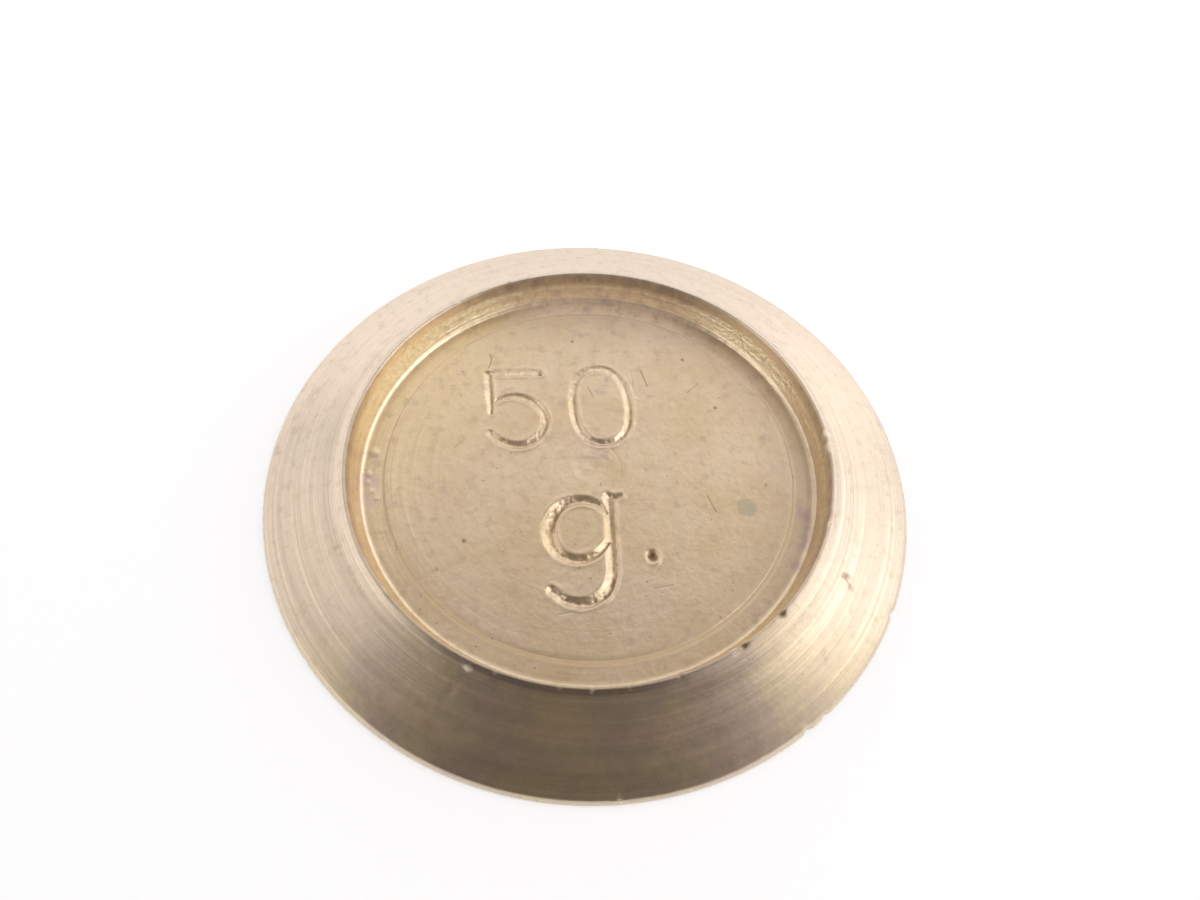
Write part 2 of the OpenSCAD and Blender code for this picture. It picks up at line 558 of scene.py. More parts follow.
# Knocks on the edges: azimuth in degrees, radius, height, reach, then the push
# outwards and upwards.
knockSet = [
    (1.2, 22.95, 4.40, 0.75, -0.10, 0.07),
    (5.2, 22.95, 4.40, 0.55, -0.14, 0.05),
    (-20.3, 22.95, 4.40, 0.50, -0.06, 0.07),
    (-60.3, 22.95, 4.40, 0.55, -0.10, 0.06),
    (-57.8, 22.95, 4.40, 0.42, 0.06, -0.09),
    (-46.3, 22.95, 4.40, 0.52, 0.10, -0.14),
    (-142.3, 22.95, 4.40, 0.4, -0.04, 0.05),
    (-117.0, 23.40, 4.15, 0.5, 0.04, 0.06),
    (125.7, 22.95, 4.40, 0.3, -0.03, 0.05),
    (110.7, 22.95, 4.40, 0.24, 0.03, -0.04),
    (-87.3, 30.85, 0.36, 0.34, 0.06, 0.14),
    (-55.3, 31.0, 0.20, 0.60, -0.24, 0.04),
    (-51.3, 31.0, 0.20, 0.50, -0.20, 0.02),
    (-29.0, 31.0, 0.20, 0.70, -0.25, 0.05),
    (-124.3, 31.0, 0.20, 0.4, -0.09, 0.03),
    (-143.3, 31.0, 0.20, 0.45, -0.12, 0.03),
    (-158.3, 31.0, 0.20, 0.4, -0.08, 0.03),
    (-28.9, 25.6, 2.95, 0.40, 0.0, -0.10),
    (-30.2, 26.3, 2.60, 0.34, 0.0, -0.06),
    (-157.6, 24.43, 3.50, 0.28, 0.0, -0.03),
    (125.3, 22.15, 2.70, 0.26, -0.07, 0.02),
    (130.2, 22.12, 2.40, 0.24, -0.06, 0.02),
    (104.8, 21.85, 1.45, 0.22, -0.05, 0.05),
    (94.3, 21.80, 1.42, 0.22, -0.04, 0.05),
    (112.7, 20.7, 1.30, 0.24, 0.0, 0.05),
    (155.0, 20.1, 1.32, 0.30, 0.0, 0.06),
    (156.2, 19.5, 1.70, 0.26, 0.0, 0.05),
    (174.6, 20.9, 1.30, 0.60, 0.0, 0.16),
    (-178.9, 21.15, 1.30, 0.40, 0.0, 0.12),
    (-176.2, 21.2, 1.30, 0.36, 0.0, 0.11),
    (-173.4, 20.8, 1.30, 0.36, 0.0, 0.09),
    (-171.0, 20.4, 1.30, 0.30, 0.0, 0.07),
    (-111.5, 22.95, 4.40, 0.26, -0.05, 0.05),
    (-98.0, 22.95, 4.40, 0.22, -0.04, 0.05),
    (-91.5, 22.95, 4.40, 0.28, -0.06, 0.05),
    (-84.0, 22.95, 4.40, 0.20, -0.04, 0.04),
    (-73.0, 22.95, 4.40, 0.24, 0.05, -0.06),
    (-118.3, 25.4, 3.05, 0.45, 0.0, -0.06),
]


def nearKnocks(margin):
    def wanted(xyz):
        near = np.zeros(len(xyz), bool)
        for azimuth, radius, height, reach, out, up in knockSet:
            a = math.radians(azimuth)
            spot = np.array([radius * math.cos(a), radius * math.sin(a), height])
            near |= np.linalg.norm(xyz - spot, axis=1) < reach + margin
        return near
    return wanted


def knockEdges(bm, layers):
    # Pushes the metal at each knock. The flat underside keeps its place.
    verts = bm.verts[:]
    xyz = np.array([v.co for v in verts])
    inside = np.hypot(xyz[:, 0], xyz[:, 1]) < bodySet["baseRadius"] - 0.3
    flatBase = inside & (xyz[:, 2] < bodySet["tiny"])
    for azimuth, radius, height, reach, out, up in knockSet:
        a = math.radians(azimuth)
        outward = Vector((math.cos(a), math.sin(a), 0))
        spot = np.array(outward * radius + Vector((0, 0, height)))
        pull = np.clip(1 - (np.linalg.norm(xyz - spot, axis=1) / reach) ** 2, 0, 1) ** 2
        layer = layers["wearAndHighlight"] if up > 0 else layers["grime"]
        for k in np.nonzero((pull > 0) & ~flatBase)[0]:
            verts[k].co += (outward * out + Vector((0, 0, up))) * pull[k]
            verts[k].co.z = min(verts[k].co.z, bodySet["height"])
            mark = float(pull[k]) ** 0.5 * min(1, 9 * (abs(out) + abs(up)))
            verts[k][layer] = max(verts[k][layer], mark)


# Dirt, duller brass at the back with partly painted light, wear partly with painted highlight, and painted
# shade on the bevel at the front, by place. A side is the azimuth that it faces, the cosine from there at
# which it starts, and the span of cosine over which it comes in.
tarnishSet = {
    "dirtySides": [(88, 0.72, 0.2, 0.5), (-6, 0.75, 0.2, 0.25), (186, 0.86, 0.1, 0.3)],
    "dirtAllRound": 0.06,
    "dirtHeight": 2.9,
    "dirtRise": 0.6,
    "dullLitSide": (84, 0.82, 0.13),
    "dullLitRadius": 19.4,
    "dullLitRise": 0.5,
    "cornerDirt": 0.1,
    "cornerWay": 0.45,
    "cornerSpread": 0.3,
    "rimSide": (-96, 0.76, 0.12),
    "rimWearAndHighlight": 0.35,
    "rimWay": 0.05,
    "rimSpread": 0.12,
    "baseSpread": 0.2,
    "stepWearAndHighlight": 0.95,
    "bevelSide": (-103, 0.8, 0.14),
    "bevelHeight": 3.2,
}


def facing(around, azimuth, start, span):
    return np.clip((np.cos(np.radians(around - azimuth)) - start) / span, 0, 1)


def tarnish(bm, layers):
    # Dirt in the corners, wear on the edges partly with painted highlight, painted shade on the front
    # bevel, duller brass at the back with partly painted light, and the stains by place.
    s = bodySet
    t = tarnishSet
    wallFoot = s["mouthRadius"] - s["leadInWidth"] - s["slopeWidth"] - s["wallLean"]
    verts = bm.verts[:]
    xyz = np.array([v.co for v in verts])
    r = np.hypot(xyz[:, 0], xyz[:, 1])
    z = xyz[:, 2]
    around = np.degrees(np.arctan2(xyz[:, 1], xyz[:, 0]))
    upper = z > s["floorHeight"] - 0.01
    inMouth = r < s["mouthRadius"] - 0.02

    dirt = t["dirtAllRound"]
    for azimuth, start, span, strength in t["dirtySides"]:
        dirt = dirt + strength * facing(around, azimuth, start, span)
    dirt = np.clip((z - t["dirtHeight"]) / t["dirtRise"], 0, 1) * dirt
    dirt = np.where(upper & (r > wallFoot + 0.1) & inMouth, dirt, 0)
    corner = t["cornerDirt"] * np.exp(-((r - wallFoot + t["cornerWay"]) / t["cornerSpread"]) ** 2)
    grimeNew = np.maximum(dirt, corner * (z < s["floorHeight"] + 0.3) * upper)
    # Partly painted light: behind the seat the brass is duller, with colours set for the light there.
    dullAndLit = facing(around, *t["dullLitSide"]) * upper * inMouth
    dullAndLit = dullAndLit * np.clip((r - t["dullLitRadius"]) / t["dullLitRise"], 0, 1)

    # Partly painted highlight: the rim's inner edge paler, only on the side towards the front.
    rim = np.exp(-((r - s["mouthRadius"] - t["rimWay"]) / t["rimSpread"]) ** 2) * (z > s["height"] - 0.12)
    patchy = 0.55 + 0.9 * ripple(xyz[:, :2], 0.9, 21.0)
    rim = t["rimWearAndHighlight"] * rim * patchy * facing(around, *t["rimSide"])
    # Partly painted reflection: the base edge paler all round, as the white table would show in it.
    baseEdge = np.exp(-((r - s["baseRadius"]) / t["baseSpread"]) ** 2) * (z > s["tiny"])
    # Partly painted highlight: the seat's step paler, also where the wall shades it.
    stepEdge = np.clip((r - s["seatRadius"] + 0.05) / 0.06, 0, 1)
    stepEdge = stepEdge * np.clip((s["seatRadius"] + s["seatEdge"] + 0.12 - r) / 0.1, 0, 1)
    wearAndHighlightNew = np.maximum.reduce([rim, baseEdge, t["stepWearAndHighlight"] * stepEdge * upper])

    # Painted shade: the bevel just outside the rim goes dark on the side towards the front.
    bevel = np.clip((r - s["mouthRadius"] - 0.12) / 0.15, 0, 1)
    bevel = bevel * np.clip((s["mouthRadius"] + 0.62 - r) / 0.3, 0, 1)
    bevelShade = bevel * (z > t["bevelHeight"]) * facing(around, *t["bevelSide"])
    for k, v in enumerate(verts):
        v[layers["wearAndHighlight"]] = max(v[layers["wearAndHighlight"]], float(wearAndHighlightNew[k]))
        v[layers["grime"]] = max(v[layers["grime"]], float(grimeNew[k]))
        v[layers["bevelShade"]] = float(bevelShade[k])
        v[layers["dullAndLit"]] = float(dullAndLit[k])
    for name in ("violet", "verdigris"):
        amount = np.zeros(len(verts))
        for x, y, size, strength in stainSet[name]:
            gap = np.hypot(xyz[:, 0] - x, xyz[:, 1] - y) / size
            amount = np.maximum(amount, strength * np.clip(1.5 - gap, 0, 1))
        for k in np.nonzero((amount > 0) & upper & (r < wallFoot + 0.3))[0]:
            verts[k][layers[name]] = float(amount[k])


def placeSignals(start):
    # Object coordinates in millimetres, with the radius and the direction from the axis.
    place = start.node("ShaderNodeTexCoord", out="Object")
    place = place.node("ShaderNodeVectorMath", {"operation": "SCALE"}, {0: place, "Scale": 1000.0})
    x, y, z = [place.node("ShaderNodeSeparateXYZ", None, {0: place}, axis) for axis in "XYZ"]
    radius = (x * x + y * y).root()
    return place, x, y, z, radius


def attribute(start, name):
    return start.node("ShaderNodeAttribute", {"attribute_name": name}, None, "Fac")


def cloud(place, scale, detail=2.0, roughness=0.5, shift=0.0):
    # Soft noise. The shift moves it, so that two clouds of one scale differ.
    way = (shift, shift * 0.7, shift * 1.3)
    moved = place.node("ShaderNodeVectorMath", {"operation": "ADD"}, {0: place, 1: way})
    return place.node("ShaderNodeTexNoise", {"noise_dimensions": "3D"},
                      {"Vector": moved, "Scale": scale, "Detail": detail, "Roughness": roughness})


# Colours of the brass. The wall of the recess is cleaner and more golden than the rest.
brassTones = {
    "seat": (0.82, 0.665, 0.485),
    "seatBrown": (0.76, 0.585, 0.385),
    "seatGold": (0.92, 0.735, 0.475),
    # Painted light on the ring at the back left.
    "ringPaintedLight": (0.96, 0.78, 0.50),
    "seatShade": (0.62, 0.485, 0.36),
    "wallFoot": (1.0, 0.83, 0.60),
    "wallSlope": (1.0, 0.87, 0.62),
    "leadIn": (1.0, 0.83, 0.59),
    "wallRight": (0.75, 0.61, 0.44),
    "wallLeft": (0.80, 0.66, 0.48),
    # Painted highlight on the wall.
    "paintedHighlight": (1.0, 0.95, 0.80),
    # Duller brass behind the seat, partly painted light and shade.
    "dullRingLit": (1.0, 0.81, 0.61),
    "dullRingLitBrown": (0.88, 0.70, 0.56),
    "dullWallLit": (0.84, 0.62, 0.39),
    "dullWallLitBrown": (0.68, 0.50, 0.36),
    "flank": (0.725, 0.60, 0.475),
    "flankLine": (0.765, 0.635, 0.505),
    "flankRight": (0.79, 0.685, 0.57),
    # Painted shade: the darker flank at the front, plain and violet.
    "front": (0.70, 0.575, 0.41),
    "frontViolet": (0.62, 0.495, 0.415),
    "mottle": (0.50, 0.375, 0.26),
    "dirt": (0.20, 0.115, 0.06),
    "stainLeft": (0.80, 0.62, 0.60),
    "stainRight": (0.58, 0.445, 0.445),
    "verdigris": (0.43, 0.43, 0.31),
    # Wear, partly painted highlight on the edges.
    "wearAndHighlight": (1.0, 0.85, 0.655),
    # Painted shade on the bevel at the front.
    "bevelShade": (0.16, 0.12, 0.12),
    "line": (0.30, 0.24, 0.22),
    "speck": (0.20, 0.15, 0.12),
}

# Where one part of the surface gives way to the next, as the two ends of a smooth rise.
brassSpans = {
    "underside": (0.06, 0.02),
    "seatEnd": (22.0, 21.6),
    "ring": (19.5, 19.9),
    "wall": (21.5, 21.75),
    "upperWall": (21.8, 22.0),
    "flank": (22.58, 22.74),
    "rimInside": (22.72, 22.84),
    "rimOutside": (23.14, 23.02),
    "lowFlank": (26.5, 30.5),
    "slopeFoot": (1.6, 2.0),
    "leadIn": (3.1, 3.5),
    "bandTop": (3.5, 3.2),
    "frontSide": (-12.0, -22.0),
    "linedBack": (8.0, -8.0),
    "linedFront": (-19.0, -26.0),
    "paintedHighlightSides": (20.0, 21.4),
}

# Soft noise: scale, detail, roughness and shift.
brassClouds = {
    "grain": (2.6, 4.0, 0.65),
    "dimple": (1.1, 1.0, 0.5, 57.0),
    "blotch": (0.16, 3.0, 0.6, 11.0),
    "mottle": (0.9, 3.0, 0.6, 31.0),
    "bead": (2.2, 2.0, 0.55, 83.0),
}

# Tool marks: waves in a millimetre of radius, change round the axis, and shift.
brassMarks = {
    "fine": (6.0, 1.6, 0.0),
    "middle": (2.1, 0.8, 40.0),
    "broad": (0.7, 0.6, 90.0),
}

brassFinish = {
    "roughness": 0.41,
    "metallic": 0.74,
    "cleanMetal": 0.24,  # more metallic on the flank and the wall
    "coat": 0.12,
    "coatRoughness": 0.4,
    "coatIor": 1.8,
}

# Thin turned lines high on the flank: radius, the side of the weight, and where along x they fade in.
ringLineSet = [(24.15, 1, 12.0, 18.0), (24.42, -1, 14.0, 19.0), (24.95, 1, 20.0, 23.0)]


def brassMaterial():
    material, start, shader = newMaterial("turnedBrass")
    place, x, y, z, radius = placeSignals(start)
    along = radius - z * 1.3
    tone = {name: rgb(*value) for name, value in brassTones.items()}
    span = brassSpans
    finish = brassFinish

    def toolMarks(perMm, arc, shift):
        # Noise along the radius, drawn out into arcs round the axis.
        spot = start.node("ShaderNodeCombineXYZ", None,
                          {0: along * perMm + shift, 1: x / radius * arc, 2: y / radius * arc})
        return start.node("ShaderNodeTexNoise", {"noise_dimensions": "3D"},
                          {"Vector": spot, "Scale": 1.0, "Detail": 1.0, "Roughness": 0.6})

    fine, middle, broad = [toolMarks(*values) for values in brassMarks.values()]
    grain, dimple, blotch, mottle, bead = [cloud(place, *values) for values in brassClouds.values()]
    grime, wearAndHighlight, struck, bevelShade, dullAndLit, violet, verdigris = [attribute(start, name) for name in layerNames]

    upside = 1 - z.rise(*span["underside"])
    flank = radius.rise(*span["flank"]) * upside
    recess = 1 - flank
    seat = radius.rise(*span["seatEnd"]) * upside
    ring = radius.rise(*span["ring"]) * upside
    wall = radius.rise(*span["wall"]) * upside
    band = wall * z.rise(*span["slopeFoot"]) * z.rise(*span["bandTop"]) * recess

    # The seat and the ring round it: golden at the back left, brown at the right, with painted light on the
    # ring at the back left and painted shade on the seat towards the wall at the back right.
    recessColour = blotch.rise(0.35, 0.7).tint(tone["seat"], tone["seatBrown"])
    recessColour = ((y * 0.6 - x).rise(8.0, 24.0) * 0.8).tint(recessColour, tone["seatGold"])
    # Painted light: the ring lighter at the back left.
    sunny = ring * y.rise(2.0, 10.0) * x.rise(2.0, -5.0)
    recessColour = (sunny * 0.5).tint(recessColour, tone["ringPaintedLight"])
    shady = radius.rise(15.0, 19.0) * (x * 0.8 + y * 0.6).rise(-2.0, 9.0) * upside
    recessColour = (shady * 0.5).tint(recessColour, tone["seatShade"])

    # The wall: golden, with painted highlights at the back left and right, and duller brass straight behind
    # whose colours are partly painted light.
    slope = z.rise(*span["slopeFoot"]).tint(tone["wallFoot"], tone["wallSlope"])
    recessColour = z.rise(*span["leadIn"]).tint(wall.tint(recessColour, slope), tone["leadIn"])
    rightWall = wall * x.rise(15.0, 20.5) * y.rise(12.0, 6.0) * (0.95 - z.rise(1.6, 1.9) * 0.5)
    recessColour = rightWall.tint(recessColour, tone["wallRight"])
    leftWall = wall * x.rise(-15.0, -20.5) * y.rise(5.0, 0.5) * 0.6
    recessColour = leftWall.tint(recessColour, tone["wallLeft"])
    recessColour = (1 + (bead - 0.5) * band * 0.35).shaded(recessColour)
    # Painted highlight: pale patches on the wall's slope at the back left and right.
    paintedHighlight = band * (x.absolute() * 0.75 + y * 0.66).rise(*span["paintedHighlightSides"])
    recessColour = (paintedHighlight * bead.rise(0.36, 0.66) * 0.6).tint(recessColour, tone["paintedHighlight"])
    brownish = mottle.rise(0.35, 0.65)
    # Partly painted light and shade: duller brass behind the seat, the ring lighter there.
    dullRingLit = brownish.tint(tone["dullRingLit"], tone["dullRingLitBrown"])
    dullWallLit = brownish.tint(tone["dullWallLit"], tone["dullWallLitBrown"])
    recessColour = (dullAndLit * 0.8).tint(recessColour, radius.rise(*span["upperWall"]).tint(dullRingLit, dullWallLit))

    # The flank, with painted shade at the front: darker there, and blotchy.
    flankColour = middle.rise(0.3, 0.7).tint(tone["flank"], tone["flankLine"])
    flankColour = (x.rise(14.0, 26.0) * y.rise(8.0, -6.0) * 0.5).tint(flankColour, tone["flankRight"])
    front = y.rise(*span["frontSide"]) * flank
    frontColour = blotch.rise(0.4, 0.62).tint(tone["front"], tone["frontViolet"])
    colour = flank.tint(recessColour, front.tint(flankColour, frontColour))
    colour = (mottle.rise(0.50, 0.75) * 0.35).tint(colour, tone["mottle"])

    # Tool marks as light and dark lines, where handling hasn't rubbed them out, with painted shade low on
    # the flank at the front, and the recess darker towards its front and back.
    lined = y.rise(*span["linedBack"]) * (1 - y.rise(*span["linedFront"]) * 0.75)
    linedFlank = flank * lined
    kept = x.rise(-13.5, -16.0) * y.rise(9.0, 4.0)
    kept = kept.larger(radius.rise(6.5, 4.5) * 0.6) * recess
    shade = 0.97 + (fine - 0.5) * (0.04 + kept * 0.11 + linedFlank * 0.24)
    shade = shade + (middle - 0.5) * (0.04 + front * 0.10)
    # Painted shade: the flank darker low down at the front.
    shade = shade - flank * radius.rise(*span["lowFlank"]) * x.rise(14.0, 5.0) * y.rise(14.0, -4.0) * 0.09
    # The recess darker towards its front and its back.
    shade = shade - (y.rise(-8.0, -17.0) + y.rise(12.0, 17.0) * (1 - ring)) * recess * 0.06
    shade = shade + (broad - 0.5) * (0.04 + linedFlank * 0.06 + front * 0.34) + (grain - 0.5) * 0.2
    shade = shade + (fine.rise(0.60, 0.70) - fine.rise(0.40, 0.30)) * (kept * 0.05 + linedFlank * 0.05)
    streaks = (0.06 + x.rise(0.0, 12.0) * 0.10) * linedFlank
    shade = shade + (middle.rise(0.58, 0.66) - middle.rise(0.38, 0.30) * 0.7) * streaks
    colour = shade.shaded(colour)

    # Dirt, stains, wear partly with painted highlight on the edges, the rim top darker towards the front,
    # painted shade on the front bevel, and marks.
    colour = (grime * (0.55 + mottle * 0.9)).clamped().tint(colour, tone["dirt"])
    stain = (violet * 0.8 + (mottle - 0.5) * 2.2 + (grain - 0.5) * 1.2).rise(0.3, 1.0) * seat
    stainColour = x.rise(-8.0, 4.0).tint(tone["stainLeft"], tone["stainRight"])
    colour = (stain * 0.7).tint(colour, stainColour)
    patch = (verdigris + (grain - 0.5) * 0.9).rise(0.38, 0.75)
    colour = (patch * 0.6).tint(colour, tone["verdigris"])
    # Wear, partly painted highlight on the edges of the rim, the base and the step.
    colour = (wearAndHighlight * 0.85).clamped().tint(colour, tone["wearAndHighlight"])
    # The top of the rim darker towards the front.
    rimTop = radius.rise(*span["rimInside"]) * radius.rise(*span["rimOutside"]) * upside
    colour = (1 - rimTop * y.rise(-6.0, -15.0) * 0.25).shaded(colour)
    # Painted shade on the bevel at the front, mottled.
    colour = (bevelShade * (0.65 + mottle * 0.6)).clamped().tint(colour, tone["bevelShade"])
    scores = start.node("ShaderNodeCombineXYZ", None, {0: x * 5.0, 1: y * 1.1, 2: z})
    scores = start.node("ShaderNodeTexNoise", {"noise_dimensions": "3D"},
                        {"Vector": scores, "Scale": 1.0, "Detail": 2.0, "Roughness": 0.6})
    colour = (0.97 + struck * (scores - 0.46) * 0.5).shaded(colour)
    for ringRadius, side, fadeStart, fadeEnd in ringLineSet:
        line = (radius - ringRadius).absolute().rise(0.05, 0.02) * (x * side).rise(fadeStart, fadeEnd)
        colour = (line * 0.35).tint(colour, tone["line"])
    cells = [start.node("ShaderNodeTexVoronoi", {"feature": "F1"}, {"Vector": place, "Scale": 0.8}, out)
             for out in ("Distance", "Color")]
    pick = start.node("ShaderNodeSeparateXYZ", None, {0: cells[1]}, "X")
    speck = (cells[0] + (grain - 0.5) * 0.06).rise(0.10, 0.05) * pick.rise(0.62, 0.66)
    colour = (speck * (0.5 - flank * 0.25)).tint(colour, tone["speck"])

    # Relief in millimetres.
    height = (fine - 0.5) * (0.006 + flank * 0.006) + (middle - 0.5) * (0.010 - flank * 0.004)
    height = (height + (broad - 0.5) * (0.008 - flank * 0.004)) * (1 - flank * (1 - lined) * 0.8)
    height = height + ((middle - 0.5) * 0.06 + (bead - 0.5) * (paintedHighlight * 0.03 + 0.07)) * band
    height = height + (grain - 0.5) * (0.022 - flank * 0.014) + (dimple - 0.5) * (0.03 - flank * 0.02)
    height = height + struck * (scores - 0.5) * 0.022 - speck * 0.006
    normal = start.node("ShaderNodeBump", None, {"Height": height, "Distance": mm, "Strength": 1.0})

    rough = finish["roughness"] - flank * 0.06 - wall * recess * 0.06 - struck * 0.08
    rough = rough + (mottle - 0.5) * 0.16 + grime * 0.2 - wearAndHighlight * 0.08 + stain * 0.1
    metal = finish["metallic"] + flank.larger(wall) * finish["cleanMetal"] + struck * 0.2
    metal = metal - wearAndHighlight * 0.75 - patch * 0.25 - grime * 0.25 - dullAndLit * 0.5
    metal = metal - wall * recess * z.rise(*span["leadIn"]) * 0.15
    coat = flank * finish["coat"] + seat * (1 - wall) * finish["coat"]
    tree = material.node_tree
    tree.links.new(colour.socket, shader.inputs["Base Color"])
    tree.links.new(rough.clamped().socket, shader.inputs["Roughness"])
    tree.links.new(normal.socket, shader.inputs["Normal"])
    tree.links.new(metal.clamped().socket, shader.inputs["Metallic"])
    tree.links.new(coat.socket, shader.inputs["Coat Weight"])
    shader.inputs["Coat Roughness"].default_value = finish["coatRoughness"]
    shader.inputs["Coat IOR"].default_value = finish["coatIor"]
    return material


def makeBody(s):
    bm = spunBody(s)
    print("spun", len(bm.faces), "faces")
    fillSeat(bm)
    print("filled", len(bm.faces), "faces,", sum(e.is_boundary for e in bm.edges), "open edges")
    paths = stampPaths()
    for reach in s["markReaches"]:
        refine(bm, nearStrokes(paths, reach))
        print("refined near the marks to", len(bm.faces), "faces")
    refine(bm, nearKnocks(s["knockMargin"]), s["shortestEdge"])
    layers = {name: bm.verts.layers.float.new(name) for name in layerNames}
    punch(bm, paths, layers)
    knockEdges(bm, layers)
    tarnish(bm, layers)
    print("punched, knocked and tarnished")
    bmesh.ops.recalc_face_normals(bm, faces=bm.faces[:])
    shadeByAngle(bm, s["crease"])
    piece = finishMesh(bm, "brassBody", brassMaterial())
    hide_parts("weight_body")
    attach(piece, "root")
    return piece


# Lead plug: hammered face, set back from the underside.
leadSet = {
    "radius": plugHigh.x / mm,
    "neckRadius": 3.5,
    "faceHeight": plugLow.z / mm,
    "topHeight": plugHigh.z / mm,
    "neckHeight": 0.4,
    "edgeRound": 0.06,
    "rings": 26,
    "turns": 120,
    "blows": 34,
    "blowDepth": 0.085,
    "blowSize": (0.45, 0.5),
    "blowForce": (0.5, 0.5),
    "aroundAxis": 6.283,
    "seed": 11,
    "crease": 50,
    "dark": (0.23, 0.235, 0.25),
    "pale": (0.36, 0.365, 0.375),
    "grain": (0.14, 0.14, 0.15),
    "metallic": 0.85,
}


def leadMaterial(s):
    material, start, shader = newMaterial("hammeredLead")
    place, x, y, z, radius = placeSignals(start)
    grain = cloud(place, 3.0, 4.0, 0.6)
    bloom = cloud(place, 0.9, 3.0, 0.6, 7.0)
    colour = bloom.rise(0.35, 0.7).tint(rgb(*s["dark"]), rgb(*s["pale"]))
    colour = (grain.rise(0.5, 0.8) * 0.5).tint(colour, rgb(*s["grain"]))
    height = (grain - 0.5) * 0.02
    normal = start.node("ShaderNodeBump", None, {"Height": height, "Distance": mm, "Strength": 1.0})
    tree = material.node_tree
    tree.links.new(colour.socket, shader.inputs["Base Color"])
    tree.links.new((0.5 + (bloom - 0.5) * 0.3).clamped().socket, shader.inputs["Roughness"])
    tree.links.new(normal.socket, shader.inputs["Normal"])
    shader.inputs["Metallic"].default_value = s["metallic"]
    return material


def makeLead(s):
    bm = bmesh.new()
    corners = [
        (0.0, s["faceHeight"]),
        (s["neckRadius"], s["faceHeight"]),
        (s["neckRadius"], s["neckHeight"]),
        (s["radius"], s["neckHeight"]),
        (s["radius"], s["topHeight"]),
        (0.0, s["topHeight"]),
    ]
    points = [bm.verts.new((r, 0, z)) for r, z in corners]
    for pair in zip(points, points[1:]):
        bm.edges.new(pair)
    bmesh.ops.bevel(bm, geom=[points[1]], offset=s["edgeRound"], offset_type="OFFSET", segments=2,
                    profile=0.5, affect="VERTICES", material=-1)
    face = [e for e in bm.edges if max(abs(v.co.z - s["faceHeight"]) for v in e.verts) < 1e-6]
    bmesh.ops.subdivide_edges(bm, edges=face, cuts=s["rings"])
    bmesh.ops.spin(bm, geom=bm.verts[:] + bm.edges[:], cent=(0, 0, 0), axis=(0, 0, 1),
                   angle=2 * math.pi, steps=s["turns"], use_merge=True, use_duplicate=False)
    bmesh.ops.remove_doubles(bm, verts=bm.verts[:], dist=1e-4)
    rng = np.random.default_rng(s["seed"])
    blows = []
    for a, b, c, d in rng.random((s["blows"], 4)):
        size = s["blowSize"][0] + s["blowSize"][1] * c
        force = s["blowForce"][0] + s["blowForce"][1] * d
        blows.append((s["neckRadius"] * math.sqrt(a) * 0.95, s["aroundAxis"] * b, size, force))
    for v in bm.verts:
        if v.co.z < s["faceHeight"] + 0.05:
            depth = 0
            for out, angle, size, force in blows:
                gap = math.hypot(v.co.x - out * math.cos(angle), v.co.y - out * math.sin(angle)) / size
                depth = max(depth, force * max(0, 1 - gap * gap))
            v.co.z += s["blowDepth"] * depth
    bmesh.ops.recalc_face_normals(bm, faces=bm.faces[:])
    shadeByAngle(bm, s["crease"])
    piece = finishMesh(bm, "leadPlug", leadMaterial(s))
    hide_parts("adjusting_plug")
    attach(piece, "root")
    return piece


# Camera: the spot on the table that it looks at, and where it stands from there.
cameraSet = {
    "aim": (1.11, 3.05, 0.0),
    "distance": 93.85,
    "azimuth": -6.21,
    "elevation": 56.52,
    "roll": 5.08,
    "focal": 28.2,
    "sensor": 36.0,
    "clipStart": 0.005,
}


def makeCamera(c):
    data = bpy.data.cameras.new("camera")
    data.sensor_width = c["sensor"]
    data.lens = c["focal"]
    data.clip_start = c["clipStart"]
    obj = bpy.data.objects.new("camera", data)
    bpy.context.scene.collection.objects.link(obj)
    az, el = math.radians(c["azimuth"]), math.radians(c["elevation"])
    away = Vector((math.sin(az) * math.cos(el), -math.cos(az) * math.cos(el), math.sin(el)))
    aim = Vector(c["aim"]) * mm
    roll = Matrix.Rotation(math.radians(c["roll"]), 4, "Z").to_quaternion()
    turn = (-away).to_track_quat("-Z", "Y") @ roll
    obj.matrix_world = Matrix.Translation(aim + away * c["distance"] * mm) @ turn.to_matrix().to_4x4()
    bpy.context.scene.camera = obj
    print("camera at", [round(v, 4) for v in obj.matrix_world.translation])


tableSet = {
    "colour": (0.90, 0.90, 0.92),
    "roughness": 0.8,
    "specular": 0.2,
    "glow": (0.312, 0.327, 0.35),
    "reach": 500,
    "fade": (90.0, 300.0),
}


def makeTable(s):
    # The table's glow is seen directly and in reflections, and lights nothing else.
    bm = bmesh.new()
    bmesh.ops.create_grid(bm, x_segments=1, y_segments=1, size=s["reach"])
    material, start, shader = newMaterial("whiteTable")
    seen = [start.node("ShaderNodeLightPath", out=name)
            for name in ("Is Camera Ray", "Is Glossy Ray", "Is Transmission Ray")]
    radius = placeSignals(start)[4]
    glow = radius.rise(*s["fade"]).tint(rgb(*s["glow"]), rgb(1, 1, 1))
    glow = (seen[0] + seen[1] + seen[2]).clamped().tint(rgb(0, 0, 0), glow)
    material.node_tree.links.new(glow.socket, shader.inputs["Emission Color"])
    shader.inputs["Emission Strength"].default_value = 1
    shader.inputs["Base Color"].default_value = rgb(*s["colour"])
    shader.inputs["Roughness"].default_value = s["roughness"]
    shader.inputs["Specular IOR Level"].default_value = s["specular"]
    finishMesh(bm, "table", material)


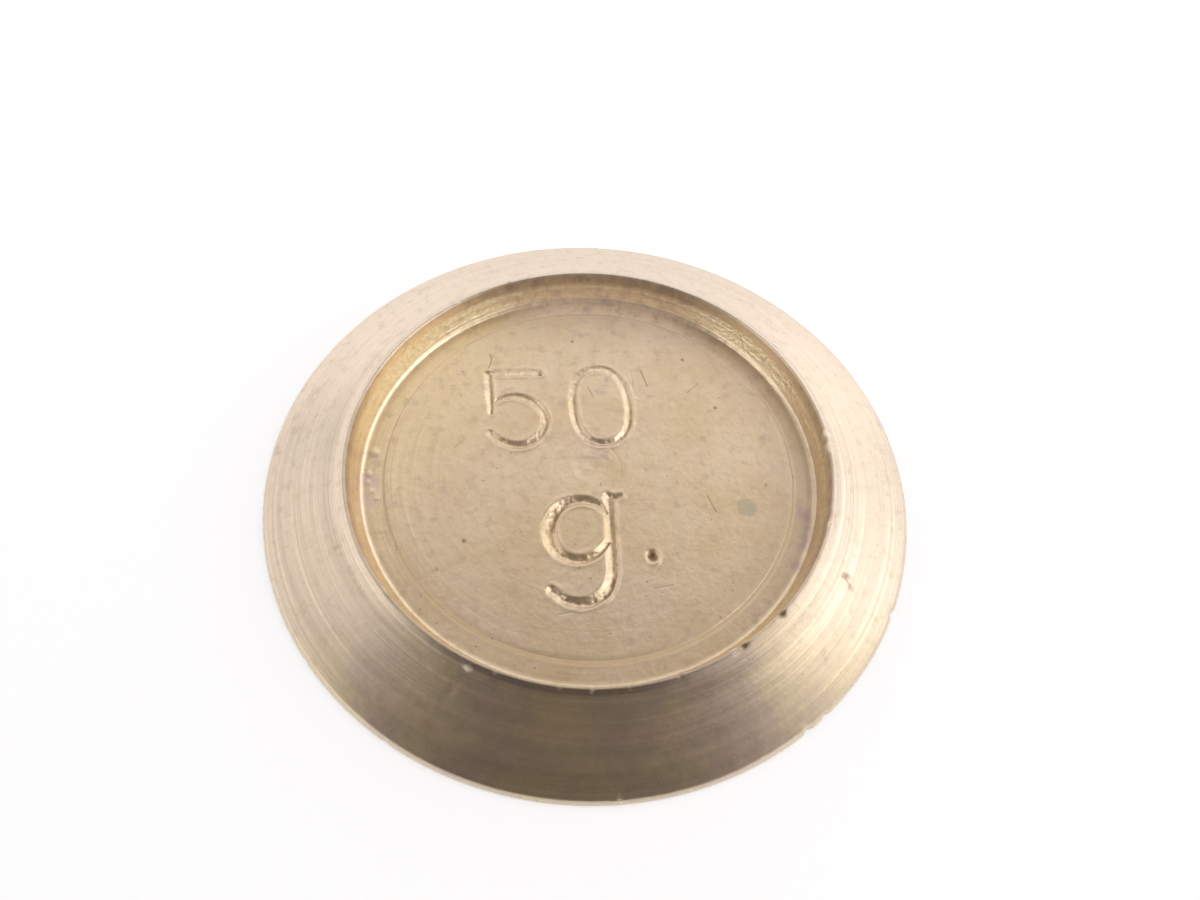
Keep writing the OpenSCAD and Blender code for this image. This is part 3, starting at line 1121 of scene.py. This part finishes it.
# Window and sky panels. Azimuth runs clockwise from straight behind the weight.
lampSet = {
    "windowRight": {"azimuth": 66, "elevation": 31, "distance": 700, "size": (860, 420), "radiance": 1.4,
                    "colour": (1.0, 0.985, 0.955)},
    "sashRight": {"azimuth": 94, "elevation": 53, "distance": 680, "size": (260, 270), "radiance": 3.3,
                  "colour": (1.0, 0.985, 0.955)},
    "windowLeft": {"azimuth": -80, "elevation": 25, "distance": 700, "size": (600, 340), "radiance": 0.94,
                   "colour": (1.0, 0.985, 0.965)},
    "sashLeft": {"azimuth": -88, "elevation": 54, "distance": 680, "size": (180, 180), "radiance": 3.6,
                 "colour": (1.0, 0.985, 0.955)},
    "sillRight": {"azimuth": 119, "elevation": 21, "distance": 700, "size": (540, 310), "radiance": 0.94,
                  "colour": (1.0, 0.97, 0.92)},
    "sillLeft": {"azimuth": -114, "elevation": 20, "distance": 700, "size": (300, 250), "radiance": 1.0,
                 "colour": (1.0, 0.97, 0.92)},
    "ceiling": {"azimuth": -4, "elevation": 46, "distance": 800, "size": (1000, 560), "radiance": 0.97,
                "colour": (1.0, 0.985, 0.965)},
    "backWall": {"azimuth": 0, "elevation": 11, "distance": 900, "size": (2500, 360), "radiance": 0.62,
                 "colour": (1.0, 0.98, 0.985)},
}


def softLamp(name, s):
    # A square panel that faces the weight. Its radiance is 1 where it looks white.
    data = bpy.data.lights.new(name, "AREA")
    data.shape = "RECTANGLE"
    data.size, data.size_y = s["size"][0] * mm, s["size"][1] * mm
    data.energy = s["radiance"] * math.pi * data.size * data.size_y
    data.color = s["colour"]
    obj = bpy.data.objects.new(name, data)
    bpy.context.scene.collection.objects.link(obj)
    az, el = math.radians(s["azimuth"]), math.radians(s["elevation"])
    away = Vector((math.sin(az) * math.cos(el), math.cos(az) * math.cos(el), math.sin(el)))
    obj.location = away * s["distance"] * mm
    obj.rotation_euler = (-away).to_track_quat("-Z", "Y").to_euler()
    print("lamp", name)


skySet = {
    "horizon": (1.0, 0.99, 0.985),
    "middle": (0.085, 0.070, 0.054),
    "top": (0.175, 0.142, 0.108),
    "bandEnd": 0.18,
    "middleStart": 0.40,
    "middleEnd": 0.55,
    "topStart": 0.80,
}


def makeSky(s):
    world = bpy.data.worlds.new("studio")
    world.use_nodes = True
    start = Signal(world.node_tree)
    direction = start.node("ShaderNodeTexCoord", out="Generated")
    up = start.node("ShaderNodeSeparateXYZ", None, {0: direction}, "Z")
    upper = up.rise(s["middleEnd"], s["topStart"]).tint(rgb(*s["middle"]), rgb(*s["top"]))
    colour = up.rise(s["bandEnd"], s["middleStart"]).tint(rgb(*s["horizon"]), upper)
    world.node_tree.links.new(colour.socket, world.node_tree.nodes["Background"].inputs["Color"])
    bpy.context.scene.world = world
    print("sky set")


makeCamera(cameraSet)
makeBody(bodySet)
makeLead(leadSet)
makeTable(tableSet)
for name, lamp in lampSet.items():
    softLamp(name, lamp)
makeSky(skySet)
bpy.context.scene.view_settings.view_transform = "Standard"
